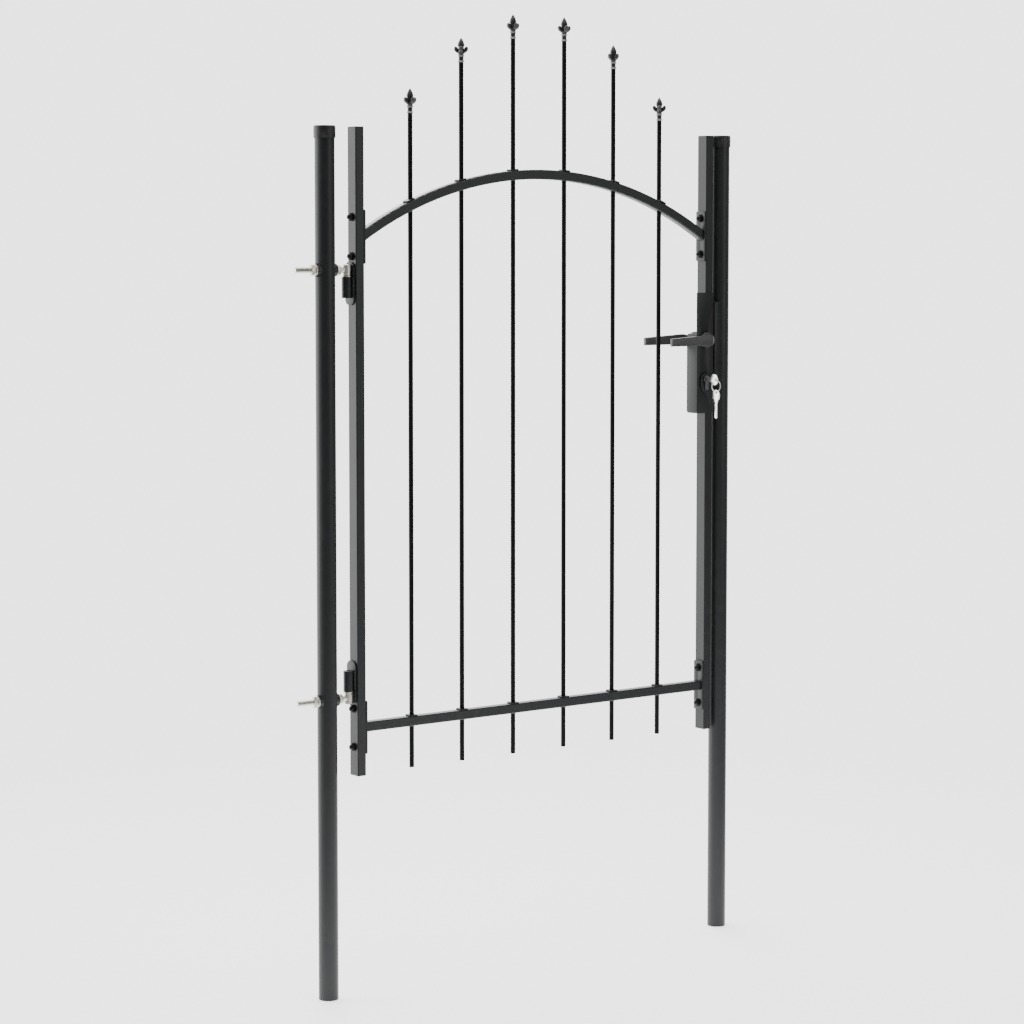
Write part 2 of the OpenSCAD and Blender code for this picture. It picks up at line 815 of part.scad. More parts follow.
// Flat key in the plane of Y and Z, its bow's middle at the origin and its blade along +Y
module key_blank() {
    t = 2.1;
    teeth = [for (k = [0 : 5]) [bow_r + 11 + k * 3.6, 1.6 + 0.7 * ((k * 2) % 3)]];
    rotate([90, 0, 90]) linear_extrude(t, center = true) difference() {
        union() {
            circle(r = bow_r);
            translate([bow_r - 3, -4]) square([key_blade + 3, 8]);
            translate([bow_r - 3, -5.5]) square([6, 11]);
        }
        translate([-bow_hole_at, 0]) circle(r = bow_hole);
        for (c = teeth) translate([c[0], 4.4]) rotate(45) square(c[1], center = true);
        // Bevelled tip
        for (m = [0, 1]) mirror([0, m]) translate([bow_r + key_blade, 4]) rotate(45)
            square(4, center = true);
    }
}

module door_key() {
    color(nickel) translate([lock_x, key_bow_y, key_z]) key_blank();
}

// The ring hangs in the key's bow, and the second key hangs in the ring
ring_y = key_bow_y - bow_hole_at;
ring_lift = bow_hole - ring_wire - bore_gap;
ring_z = key_z - ring_lift - ring_r;

module key_ring() {
    color(nickel) translate([lock_x, ring_y, ring_z]) rotate([90, 0, 0])
        rotate_extrude() translate([ring_r, 0]) circle(r = ring_wire, $fn = 16);
}

module spare_key() {
    color(nickel) translate([lock_x, ring_y, ring_z - ring_r - ring_lift])
        rotate([-90, 0, 0]) translate([0, bow_hole_at, 0]) key_blank();
}

module bar_1() bar(0);
module bar_2() bar(1);
module bar_3() bar(2);
module bar_4() bar(3);
module bar_5() bar(4);
module bar_6() bar(5);
module spear_head_1() spear_head(0);
module spear_head_2() spear_head(1);
module spear_head_3() spear_head(2);
module spear_head_4() spear_head(3);
module spear_head_5() spear_head(4);
module spear_head_6() spear_head(5);

hinge_post();
lock_post();
hinge_post_cap();
lock_post_cap();
post_foot_plugs();
keep();
keep_screw();
lower_hinge_bolt();
upper_hinge_bolt();
hinge_nuts();
hinge_washers();
saddle_washers();
thrust_washers();
hinge_stile();
lock_stile();
stile_end_caps();
arched_rail();
bottom_rail();
hinge_side_plates();
lock_side_plates();
plate_bolts();
plate_washers();
plate_cap_nuts();
bar_1();
bar_2();
bar_3();
bar_4();
bar_5();
bar_6();
spear_head_1();
spear_head_2();
spear_head_3();
spear_head_4();
spear_head_5();
spear_head_6();
arch_collars();
rail_collars();
lower_hinge_tab();
upper_hinge_tab();
lower_hinge_barrel();
upper_hinge_barrel();
lock_case();
lock_front_plate();
lock_body();
lock_forend();
forend_screws();
lever_roses();
cylinder_roses();
lock_cylinder();
cylinder_screw();
front_lever();
rear_lever();
spindle();
follower();
latch_bolt();
dead_bolt();
cylinder_plug();
door_key();
key_ring();
spare_key();
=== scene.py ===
"""The looks of a steel garden gate: powder coat, zinc-plated hinges, weld beads, cast spear
heads, bent levers, eased edges on the plates and the lock, and a plain pale studio."""

import json
import math

import bmesh
import bpy
from bpy.props import (
    FloatProperty,
    FloatVectorProperty,
    IntProperty,
    PointerProperty,
)
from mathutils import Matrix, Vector


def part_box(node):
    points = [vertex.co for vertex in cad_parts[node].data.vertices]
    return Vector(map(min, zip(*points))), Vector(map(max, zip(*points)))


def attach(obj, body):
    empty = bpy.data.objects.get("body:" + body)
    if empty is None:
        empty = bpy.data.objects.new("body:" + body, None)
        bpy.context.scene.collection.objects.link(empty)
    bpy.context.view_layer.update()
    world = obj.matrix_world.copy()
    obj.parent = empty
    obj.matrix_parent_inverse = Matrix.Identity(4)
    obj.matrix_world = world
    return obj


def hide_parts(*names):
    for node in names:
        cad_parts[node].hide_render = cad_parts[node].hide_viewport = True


bl_info = {
    "name": "Garden gate finish",
    "version": (1, 0, 0),
    "blender": (4, 5, 0),
    "location": "3D View > Sidebar > Gate",
    "description": "Finishes an arched garden gate with spear heads, welds and coatings",
    "category": "Object",
}

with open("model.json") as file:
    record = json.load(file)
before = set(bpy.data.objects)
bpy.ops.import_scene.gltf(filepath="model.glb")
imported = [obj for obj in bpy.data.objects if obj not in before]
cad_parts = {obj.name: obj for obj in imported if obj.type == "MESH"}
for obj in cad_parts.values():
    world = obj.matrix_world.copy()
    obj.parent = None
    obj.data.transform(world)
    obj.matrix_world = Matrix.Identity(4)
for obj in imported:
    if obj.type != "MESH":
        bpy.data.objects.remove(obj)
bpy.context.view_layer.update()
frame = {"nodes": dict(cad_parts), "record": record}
NODES = frame["nodes"]
SLOT_OF = {s["node"]: s["material_slot"] for s in frame["record"]["subparts"]}
BODY_OF = {
    node: body
    for body, members in frame["record"]["behaviour"]["bodies"].items()
    for node in members
}


# ---------------------------------------------------------------- shader maths


class Value:
    """A socket in a node tree that takes part in ordinary Python arithmetic."""

    def __init__(self, tree, socket):
        self.tree = tree
        self.socket = socket

    def _maths(self, operation, *terms):
        node = self.tree.nodes.new("ShaderNodeMath")
        node.operation = operation
        for place, term in enumerate(terms):
            if isinstance(term, Value):
                self.tree.links.new(term.socket, node.inputs[place])
            else:
                node.inputs[place].default_value = term
        return Value(self.tree, node.outputs[0])

    def __add__(self, other):
        return self._maths("ADD", self, other)

    __radd__ = __add__

    def __sub__(self, other):
        return self._maths("SUBTRACT", self, other)

    def __mul__(self, other):
        return self._maths("MULTIPLY", self, other)

    __rmul__ = __mul__

    def least(self, other):
        return self._maths("MINIMUM", self, other)

    def most(self, other):
        return self._maths("MAXIMUM", self, other)

    def clamped(self):
        return self.most(0.0).least(1.0)


class Finish:
    """A material under construction: nodes are added by one method, values by arithmetic."""

    def __init__(self, name):
        self.material = bpy.data.materials.new(name)
        self.material.use_nodes = True
        self.tree = self.material.node_tree
        self.shader = self.tree.nodes["Principled BSDF"]
        self.place = self.node("ShaderNodeTexCoord")["Object"]

    def node(self, kind, settings=None, **values):
        """Adds a node; returns a dictionary of its outputs as Values."""
        node = self.tree.nodes.new(kind)
        for key, value in (settings or {}).items():
            setattr(node, key, value)
        for key, value in values.items():
            self._feed(node.inputs[key.replace("_", " ")], value)
        return {out.name: Value(self.tree, out) for out in node.outputs if out.enabled}

    def _feed(self, socket, value):
        if isinstance(value, Value):
            self.tree.links.new(value.socket, socket)
        else:
            socket.default_value = value

    def noise(self, scale, detail=2.0, roughness=0.5, place=None):
        return self.node(
            "ShaderNodeTexNoise",
            Vector=place or self.place,
            Scale=scale,
            Detail=detail,
            Roughness=roughness,
        )["Fac"]

    def ramp(self, value, low, high, start=0.0, end=1.0):
        """Takes low..high to start..end, and holds it there outside."""
        return self.node(
            "ShaderNodeMapRange",
            {"clamp": True},
            Value=value,
            From_Min=low,
            From_Max=high,
            To_Min=start,
            To_Max=end,
        )["Result"]

    def stretched(self, along):
        """Object coordinates scaled by a factor on each axis."""
        return self.node(
            "ShaderNodeMapping", Vector=self.place, Scale=tuple(along)
        )["Vector"]

    def blend(self, mask, under, over):
        """Colour under where the mask is 0, over where it is 1."""
        factor, colour_a, colour_b, colour_out = 0, 6, 7, 2
        mix = self.tree.nodes.new("ShaderNodeMix")
        mix.data_type = "RGBA"
        self._feed(mix.inputs[factor], mask)
        self._feed(mix.inputs[colour_a], under)
        self._feed(mix.inputs[colour_b], over)
        return Value(self.tree, mix.outputs[colour_out])

    def bump(self, height, distance, strength, over=None):
        """Normals from a height, on top of the normals of another bump if there is one."""
        values = {"Height": height, "Distance": distance, "Strength": strength}
        if over is not None:
            values["Normal"] = over
        return self.node("ShaderNodeBump", **values)["Normal"]

    def finish(self, **sockets):
        """Feeds the shader's sockets and returns the material."""
        for key, value in sockets.items():
            self._feed(self.shader.inputs[key.replace("_", " ")], value)
        return self.material


def solid(colour):
    return (*colour, 1.0)


def tinted(colour, factor):
    return (*(min(1.0, part * factor) for part in colour), 1.0)


# ------------------------------------------------------------------- materials


def powder_coat(look, name="powder_coat", shade=1.0, ior=1.42, sheen=1.0):
    """Satin anthracite powder coat: fine orange peel, faint metallic fleck, dull dust."""
    f = Finish(name)
    dust_colour = (0.42, 0.41, 0.39)
    colour = tuple(part * shade for part in look.coat_colour)
    peel = f.noise(760.0, detail=3.0, roughness=0.55)
    drift = f.noise(3.2, detail=2.0)
    grain = f.noise(2600.0, detail=1.0)
    dust = f.ramp(f.noise(38.0, detail=5.0, roughness=0.7), 0.52, 0.78)
    base = f.blend(
        f.ramp(drift, 0.3, 0.7), tinted(colour, 0.92), tinted(colour, 1.08)
    )
    speckled = f.blend(f.ramp(grain, 0.62, 0.74) * 0.3, base, tinted(colour, 2.0))
    dusty = f.blend(dust * 0.015, speckled, solid(dust_colour))
    rough = f.ramp(peel, 0.3, 0.7, look.coat_roughness - 0.03, look.coat_roughness + 0.04)
    return f.finish(
        Base_Color=dusty,
        Roughness=(rough + dust * 0.05).clamped(),
        Metallic=0.0,
        IOR=ior,
        Specular_Tint=solid((sheen, sheen, sheen)),
        Normal=f.bump(peel, distance=0.00005, strength=0.2),
    )


def bar_coat_with_painted_shade(look):
    """The frame's powder coat for the bars, its colour darkened to 0.4 as painted shade, with a
    duller reflection.
    """
    return powder_coat(look, "bar_coat_with_painted_shade", shade=0.4, ior=1.33, sheen=0.4)


def blackened_steel(look):
    """Blackened fasteners: near-black oxide, burnished a little in patches."""
    f = Finish("black_steel")
    scuff = f.noise(210.0, detail=6.0, roughness=0.7)
    patch = f.ramp(f.noise(70.0, detail=3.0), 0.5, 0.72)
    colour = f.blend(patch, solid(look.black_colour), tinted(look.black_colour, 2.3))
    rough = f.ramp(scuff, 0.3, 0.7, 0.28, 0.5)
    return f.finish(
        Base_Color=colour,
        Roughness=rough,
        Metallic=0.55,
        Normal=f.bump(scuff, distance=0.00012, strength=0.5),
    )


def moulded_plastic(look):
    """Moulded black plastic: spark-eroded grain and a slightly chalky top."""
    f = Finish("black_plastic")
    chalk_colour = (0.13, 0.13, 0.13)
    grain = f.noise(1500.0, detail=4.0, roughness=0.6)
    chalk = f.ramp(f.noise(45.0, detail=4.0, roughness=0.65), 0.5, 0.8)
    colour = f.blend(chalk * 0.35, solid(look.black_colour), solid(chalk_colour))
    return f.finish(
        Base_Color=colour,
        Roughness=f.ramp(grain, 0.3, 0.7, 0.36, 0.52),
        Normal=f.bump(grain, distance=0.00010, strength=0.5),
    )


def zinc_plate(look):
    """Bright zinc plate with a pale passivated bloom and fine draw marks."""
    f = Finish("zinc")
    yellowed = (0.72, 0.69, 0.58)
    bloom = f.ramp(f.noise(95.0, detail=5.0, roughness=0.62), 0.38, 0.68)
    tint = f.ramp(f.noise(28.0, detail=2.0), 0.35, 0.65)
    marks = f.noise(1.0, detail=3.0, roughness=0.6, place=f.stretched((90.0, 1600.0, 1600.0)))
    metal = f.blend(tint, solid(look.zinc_colour), solid(yellowed))
    colour = f.blend(bloom * 0.5, metal, tinted(look.zinc_colour, 0.72))
    return f.finish(
        Base_Color=colour,
        Roughness=(0.22 + 0.22 * bloom + 0.08 * marks).clamped(),
        Metallic=1.0,
        Normal=f.bump(marks + bloom * 0.5, distance=0.00008, strength=0.5),
    )


def satin_nickel(look):
    """Nickel silver of the keys, cylinder and bolts: brushed, with small scratches."""
    f = Finish("nickel")
    brush_lines = f.stretched((1400.0, 1400.0, 70.0))
    brushed = f.noise(1.0, detail=4.0, roughness=0.65, place=brush_lines)
    scratch_lines = f.stretched((260.0, 2600.0, 420.0))
    scratches = f.ramp(
        f.noise(1.0, detail=2.0, roughness=0.5, place=scratch_lines), 0.66, 0.72
    )
    stain = f.ramp(f.noise(60.0, detail=3.0), 0.45, 0.75)
    colour = f.blend(stain * 0.4, solid(look.nickel_colour), tinted(look.nickel_colour, 0.7))
    return f.finish(
        Base_Color=colour,
        Roughness=(0.2 + 0.16 * brushed + 0.15 * scratches).clamped(),
        Metallic=1.0,
        Normal=f.bump(brushed - scratches * 0.6, distance=0.00008, strength=0.6),
    )


def cylinder_finish(look):
    """Dull grey lock cylinder: fine turning marks and patches of grime."""
    f = Finish("cylinder")
    turned = f.noise(1.0, detail=3.0, roughness=0.6, place=f.stretched((2200.0, 160.0, 2200.0)))
    grime = f.ramp(f.noise(170.0, detail=4.0, roughness=0.65), 0.42, 0.72)
    colour = f.blend(
        grime * 0.6, solid(look.cylinder_colour), tinted(look.cylinder_colour, 0.5)
    )
    return f.finish(
        Base_Color=colour,
        Roughness=(0.34 + 0.14 * grime + 0.1 * turned).clamped(),
        Metallic=1.0,
        Normal=f.bump(turned, distance=0.00008, strength=0.5),
    )


def cast_coat(look):
    """Powder coat over a sand casting: a wavy skin with pits darkened as painted shade, and a
    painted highlight on the spear heads' rings and lobe edges.
    """
    f = Finish("cast_coat")
    painted_highlight_colour = (0.34, 0.34, 0.33)
    skin = f.noise(420.0, detail=5.0, roughness=0.6)
    lumps = f.noise(150.0, detail=2.0)
    pits = f.ramp(f.noise(900.0, detail=2.0), 0.64, 0.76)
    colour = f.blend(
        f.ramp(lumps, 0.35, 0.7), tinted(look.coat_colour, 0.8), tinted(look.coat_colour, 1.2)
    )
    pitting = f.bump(skin - pits * 0.8, distance=0.0003, strength=0.5)
    # Painted highlight: the rub attribute lightens the rings and the outer lobe edges of the spear
    # heads
    painted_highlight = f.node("ShaderNodeAttribute", {"attribute_name": "rub"})["Fac"]
    # Painted shade: the colour darkens to 0.45 of the coat inside the pits
    pits_with_painted_shade = f.blend(pits * 0.5, colour, tinted(look.coat_colour, 0.45))
    return f.finish(
        Base_Color=f.blend(painted_highlight * (0.55 + 0.45 * skin), pits_with_painted_shade, solid(painted_highlight_colour)),
        Roughness=f.ramp(
            skin, 0.3, 0.7, look.coat_roughness - 0.06, look.coat_roughness + 0.05
        ),
        IOR=1.5,
        Normal=f.bump(lumps, distance=0.0006, strength=0.4, over=pitting),
    )


def lever_coat(look):
    """Die-cast levers and roses: a paler, smoother grey coat, worn brighter on the grip."""
    f = Finish("lever")
    skin = f.noise(900.0, detail=3.0, roughness=0.55)
    along_grip = f.stretched((30.0, 90.0, 90.0))
    rub = f.ramp(f.noise(1.0, detail=3.0, roughness=0.6, place=along_grip), 0.4, 0.7)
    colour = f.blend(rub * 0.5, solid(look.lever_colour), tinted(look.lever_colour, 1.5))
    return f.finish(
        Base_Color=colour,
        Roughness=f.ramp(skin, 0.3, 0.7, 0.33, 0.42),
        Metallic=0.25,
        Normal=f.bump(skin, distance=0.00005, strength=0.25),
    )


MAKERS = {
    "powder_coat": powder_coat,
    "black_steel": blackened_steel,
    "black_plastic": moulded_plastic,
    "zinc": zinc_plate,
    "nickel": satin_nickel,
    "cast_coat": cast_coat,
    "cylinder": cylinder_finish,
    "bar_coat_with_painted_shade": bar_coat_with_painted_shade,
    "lever": lever_coat,
}


def coating(name, look):
    """The named material, made the first time it is asked for."""
    material = bpy.data.materials.get("gate_" + name)
    if material is None:
        material = MAKERS[name](look)
        material.name = "gate_" + name
    return material


def dress(piece, material):
    """Gives the whole piece one material."""
    piece.data.materials.clear()
    piece.data.materials.append(material)
    piece.active_material_index = 0
    for face in piece.data.polygons:
        face.material_index = 0


# ---------------------------------------------------------------- mesh helpers


def only(piece):
    """Selects one object, in object mode, and makes it active."""
    if bpy.context.mode != "OBJECT":
        bpy.ops.object.mode_set(mode="OBJECT")
    bpy.ops.object.select_all(action="DESELECT")
    piece.select_set(True)
    bpy.context.view_layer.objects.active = piece


def edit(piece):
    """Opens the piece in edit mode, with points as the selection mode."""
    only(piece)
    bpy.ops.object.mode_set(mode="EDIT")
    bpy.ops.mesh.select_mode(type="VERT")


def done():
    """Leaves edit mode."""
    bpy.ops.object.mode_set(mode="OBJECT")


def apply_modifiers(piece):
    only(piece)
    for modifier in list(piece.modifiers):
        bpy.ops.object.modifier_apply(modifier=modifier.name)


def settle(piece):
    """Puts the piece's place into its mesh and its object at the origin."""
    only(piece)
    bpy.ops.object.transform_apply(location=True, rotation=True, scale=True)


def outward(piece):
    """Merges points that coincide and turns all faces outwards."""
    edit(piece)
    bpy.ops.mesh.select_all(action="SELECT")
    bpy.ops.mesh.remove_doubles(threshold=0.00001)
    bpy.ops.mesh.normals_make_consistent(inside=False)
    done()


def smooth(piece, angle):
    """Shades the piece smooth across edges flatter than the angle, in degrees."""
    only(piece)
    bpy.ops.object.shade_smooth_by_angle(angle=math.radians(angle))


def copy_of(piece, name):
    """A separate copy of a piece, with its own mesh."""
    twin = piece.copy()
    twin.data = piece.data.copy()
    twin.name = twin.data.name = name
    bpy.context.scene.collection.objects.link(twin)
    return twin


def joined(pieces, name):
    """One piece made of several."""
    only(pieces[0])
    for piece in pieces[1:]:
        piece.select_set(True)
    bpy.ops.object.join()
    whole = bpy.context.active_object
    whole.name = whole.data.name = name
    return whole


def built(name, points, edges, faces):
    """A new piece from points, edges and faces."""
    mesh = bpy.data.meshes.new(name)
    mesh.from_pydata([tuple(point) for point in points], edges, faces)
    piece = bpy.data.objects.new(name, mesh)
    bpy.context.scene.collection.objects.link(piece)
    return piece


def tube(name, points, sides):
    """A solid through rings of points, each ring with one point for every side."""
    rings = len(points) // sides
    faces = []
    for ring in range(rings - 1):
        for side in range(sides):
            this = ring * sides + side
            following = ring * sides + (side + 1) % sides
            faces.append((this, following, following + sides, this + sides))
    faces.append(tuple(range(sides)))
    faces.append(tuple(range((rings - 1) * sides, rings * sides)))
    piece = built(name, points, [], faces)
    outward(piece)
    return piece


def spun(name, profile, steps):
    """A closed shape of revolution about Z from (radius, height) points, both ends at radius 0."""
    bpy.ops.object.select_all(action="DESELECT")
    piece = built(
        name,
        [(radius, 0.0, height) for radius, height in profile],
        [(place, place + 1) for place in range(len(profile) - 1)],
        [],
    )
    edit(piece)
    bpy.ops.mesh.select_all(action="SELECT")
    bpy.ops.mesh.spin(
        steps=steps, angle=math.tau, center=(0, 0, 0), axis=(0, 0, 1), use_auto_merge=False
    )
    done()
    outward(piece)
    return piece


# ------------------------------------------------------------------ properties


class GateLooks(bpy.types.PropertyGroup):
    """Colours and finishes of the gate."""

    coat_colour: FloatVectorProperty(
        name="Coat colour",
        description="Colour of the powder coat",
        subtype="COLOR",
        size=3,
        min=0.0,
        max=1.0,
        default=(0.011, 0.012, 0.013),
    )
    coat_roughness: FloatProperty(
        name="Coat roughness",
        description="How matt the powder coat is",
        default=0.40,
        min=0.1,
        max=0.9,
    )
    black_colour: FloatVectorProperty(
        name="Black parts",
        description="Colour of the plugs, caps, collars and blackened fasteners",
        subtype="COLOR",
        size=3,
        min=0.0,
        max=1.0,
        default=(0.008, 0.008, 0.008),
    )
    zinc_colour: FloatVectorProperty(
        name="Zinc colour",
        description="Colour of the plated hinge hardware",
        subtype="COLOR",
        size=3,
        min=0.0,
        max=1.0,
        default=(0.78, 0.78, 0.74),
    )
    nickel_colour: FloatVectorProperty(
        name="Nickel colour",
        description="Colour of the keys, the cylinder and the bolts",
        subtype="COLOR",
        size=3,
        min=0.0,
        max=1.0,
        default=(0.86, 0.85, 0.82),
    )
    lever_colour: FloatVectorProperty(
        name="Lever colour",
        description="Colour of the die-cast levers and their roses",
        subtype="COLOR",
        size=3,
        min=0.0,
        max=1.0,
        default=(0.055, 0.056, 0.056),
    )
    cylinder_colour: FloatVectorProperty(
        name="Cylinder colour",
        description="Colour of the lock cylinder and its plug",
        subtype="COLOR",
        size=3,
        min=0.0,
        max=1.0,
        default=(0.16, 0.165, 0.17),
    )


class GateShapes(bpy.types.PropertyGroup):
    """Sizes of the details."""

    edge_ease: FloatProperty(
        name="Eased edges",
        description="Radius of the softened edges of plates and the lock case",
        subtype="DISTANCE",
        unit="LENGTH",
        default=0.0006,
        min=0.0001,
        max=0.003,
    )
    lever_ease: FloatProperty(
        name="Lever edges",
        description="Radius of the softened edges of the levers",
        subtype="DISTANCE",
        unit="LENGTH",
        default=0.0016,
        min=0.0002,
        max=0.003,
    )
    bead_width: FloatProperty(
        name="Weld bead width",
        description="Width of the weld beads on the hinges and the keep",
        subtype="DISTANCE",
        unit="LENGTH",
        default=0.0036,
        min=0.001,
        max=0.006,
    )
    petal_reach: FloatProperty(
        name="Leaf reach",
        description="How far the scrolled leaves of a spear head stand out from its axis",
        subtype="DISTANCE",
        unit="LENGTH",
        default=0.0151,
        min=0.010,
        max=0.0152,
    )
    petal_count: IntProperty(
        name="Leaves",
        description="Scrolled leaves round each spear head",
        default=4,
        min=3,
        max=6,
    )


class GateStage(bpy.types.PropertyGroup):
    """Floor, lights and camera."""

    floor_colour: FloatVectorProperty(
        name="Floor colour",
        description="Colour of the plain floor",
        subtype="COLOR",
        size=3,
        min=0.0,
        max=1.0,
        default=(0.90, 0.90, 0.90),
    )
    floor_glow: FloatProperty(
        name="Floor glow",
        description="Brightness that the floor adds of its own",
        default=1.5,
        min=0.0,
    )
    backdrop: FloatProperty(
        name="Backdrop",
        description="Brightness of the empty background",
        default=3.8,
        min=0.0,
    )
    room_front: FloatProperty(
        name="Room light in front",
        description="Strength of the soft light from the camera's side",
        default=0.24,
        min=0.0,
    )
    room_back: FloatProperty(
        name="Room light behind",
        description="Strength of the soft light from behind the gate",
        default=3.2,
        min=0.0,
    )
    camera_height: FloatProperty(
        name="Camera height",
        description="Height of the camera above the post feet",
        subtype="DISTANCE",
        unit="LENGTH",
        default=1.5425,
    )
    camera_turn: FloatProperty(
        name="Camera turn",
        description="Direction of the camera, from straight on towards the right",
        subtype="ANGLE",
        default=math.radians(36.714),
    )
    camera_tip: FloatProperty(
        name="Camera tip",
        description="How far the camera looks down",
        subtype="ANGLE",
        default=math.radians(4.393),
    )
    camera_lens: FloatProperty(
        name="Lens",
        description="Focal length",
        subtype="DISTANCE_CAMERA",
        default=100.0,
    )


# ------------------------------------------------------------------- operators


def easing(node, name, width):
    """A copy of a CAD node with eased edges, which stands for that node."""
    merge_within = 0.000004
    flat_within = math.radians(0.6)
    sharp_from = math.radians(30.0)
    piece = copy_of(NODES[node], name)
    piece.parent = None
    edit(piece)
    bpy.ops.mesh.select_all(action="SELECT")
    bpy.ops.mesh.remove_doubles(threshold=merge_within)
    bpy.ops.mesh.dissolve_limited(angle_limit=flat_within)
    bpy.ops.mesh.normals_make_consistent(inside=False)
    done()
    bevel = piece.modifiers.new("ease", "BEVEL")
    bevel.width = width
    bevel.segments = 2
    bevel.limit_method = "ANGLE"
    bevel.angle_limit = sharp_from
    bevel.use_clamp_overlap = True
    apply_modifiers(piece)
    smooth(piece, 40.0)
    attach(piece, BODY_OF[node])
    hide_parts(node)
    return piece


# The CAD nodes whose edges are eased, and the names of the pieces that stand for them
EASED = {
    "hinge_side_plates": "rail_plates_hinge_side",
    "lock_side_plates": "rail_plates_lock_side",
    "rail_collars": "collars_on_rail",
    "arch_collars": "collars_on_arch",
    "lower_hinge_tab": "tab_low",
    "upper_hinge_tab": "tab_high",
    "keep": "keep_channel",
    "lock_front_plate": "front_plate",
    "lock_case": "case_shell",
    "cylinder_roses": "escutcheons",
    "lever_roses": "roses",
    "door_key": "key_in_cylinder",
    "spare_key": "key_on_ring",
    "hinge_nuts": "nuts",
}

# The nodes whose coating isn't the one that their slot is named after
COAT_OF = {"lock_cylinder": "cylinder", "cylinder_plug": "cylinder", "lever_roses": "lever"}
# The bars take the frame's coat, darkened as painted shade
COAT_OF.update({f"bar_{place}": "bar_coat_with_painted_shade" for place in range(1, 7)})


class GATE_OT_coat_frame(bpy.types.Operator):
    """Gives every part of the gate its coating, plating or moulded plastic"""

    bl_idname = "gate.coat_frame"
    bl_label = "Coat the frame"

    def execute(self, context):
        look = context.scene.gate_looks
        for name, piece in NODES.items():
            dress(piece, coating(COAT_OF.get(name, SLOT_OF[name]), look))
        return {"FINISHED"}


class GATE_OT_eased_parts(bpy.types.Operator):
    """Softens the edges of plates, collars, nuts, the lock's shell and the keys"""

    bl_idname = "gate.eased_parts"
    bl_label = "Ease the edges"

    def execute(self, context):
        width = context.scene.gate_shapes.edge_ease
        look = context.scene.gate_looks
        for node, name in EASED.items():
            thin = node in ("door_key", "spare_key")
            piece = easing(node, name, width * 0.5 if thin else width)
            dress(piece, coating(COAT_OF.get(node, SLOT_OF[node]), look))
        return {"FINISHED"}


class GATE_OT_levers(bpy.types.Operator):
    """Bends both levers from a round neck into a flat tapered grip"""

    bl_idname = "gate.levers"
    bl_label = "Levers"

    def execute(self, context):
        look = context.scene.gate_looks
        round_off = context.scene.gate_shapes.lever_ease
        for node, name, side in (
            ("front_lever", "lever_front", -1),
            ("rear_lever", "lever_back", 1),
        ):
            piece = self.bar(name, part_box(node), side, round_off)
            dress(piece, coating("lever", look))
            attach(piece, BODY_OF[node])
            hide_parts(node)
        return {"FINISHED"}

    def bar(self, name, box, side, round_off):
        """A bar swept from the neck round the elbow to the tip of the grip."""
        neck = 0.008
        neck_below_top = 0.0115
        half_thick = 0.004
        half_tall = 0.0113
        top_falls = 0.0058
        bend = 0.0125
        bend_steps = 9
        low, high = box
        axis_x = high[0] - neck
        level = high[2] - neck_below_top
        root = high[1] if side < 0 else low[1]
        outer = low[1] if side < 0 else high[1]
        grip_y = outer - side * half_thick
        turn_y = grip_y - side * bend
        reach = axis_x - low[0]
        # Each section: place, direction, half width across the bar, top, bottom, squareness
        sections = []

        def add(x, y, along, half, top, bottom, square):
            sections.append((Vector((x, y, level)), Vector((*along, 0)), half, top, bottom, square))

        for share in (0.0, 0.5, 0.8, 1.0):
            add(axis_x, root + (turn_y - root) * share, (0, side), neck, neck, -neck, 0.0)
        for step in range(1, bend_steps + 1):
            share = step / bend_steps
            angle = math.pi / 2 * share
            x = axis_x - bend * (1 - math.cos(angle))
            y = turn_y + side * bend * math.sin(angle)
            along = (-math.sin(angle), side * math.cos(angle))
            half = neck + (half_thick - neck) * share
            tall = neck + (half_tall - neck) * share
            add(x, y, along, half, tall, -tall, share ** 1.5)
        for share in (0.1, 0.3, 0.5, 0.7, 0.9, 1.0):
            x = axis_x - bend - (reach - bend) * share
            add(x, grip_y, (-1, 0), half_thick, half_tall - top_falls * share, -half_tall, 1.0)
        corner_steps = 6
        points = []
        for section in sections:
            points.extend(self.outline(section, round_off, corner_steps))
        piece = tube(name, points, 4 * corner_steps)
        tip = piece.modifiers.new("tip", "BEVEL")
        tip.width = round_off * 0.5
        tip.segments = 3
        tip.limit_method = "ANGLE"
        tip.angle_limit = math.radians(60)
        apply_modifiers(piece)
        smooth(piece, 40.0)
        return piece

    def outline(self, section, round_off, corner_steps):
        """The points round one section: a circle at squareness 0, a rounded box at 1."""
        place, along, half, top, bottom, square = section
        across = Vector((0, 0, 1)).cross(along).normalized()
        middle, tall = (top + bottom) / 2, (top - bottom) / 2
        radius = round_off * square + min(half, tall) * (1 - square)
        points = []
        for quarter in range(4):
            side_x = 1 if quarter in (0, 3) else -1
            side_z = 1 if quarter < 2 else -1
            for step in range(corner_steps):
                angle = math.pi / 2 * (quarter + (step + 0.5) / corner_steps)
                out = side_x * (half - radius) + radius * math.cos(angle)
                up = side_z * (tall - radius) + radius * math.sin(angle)
                points.append(place + across * out + Vector((0, 0, middle + up)))
        return points


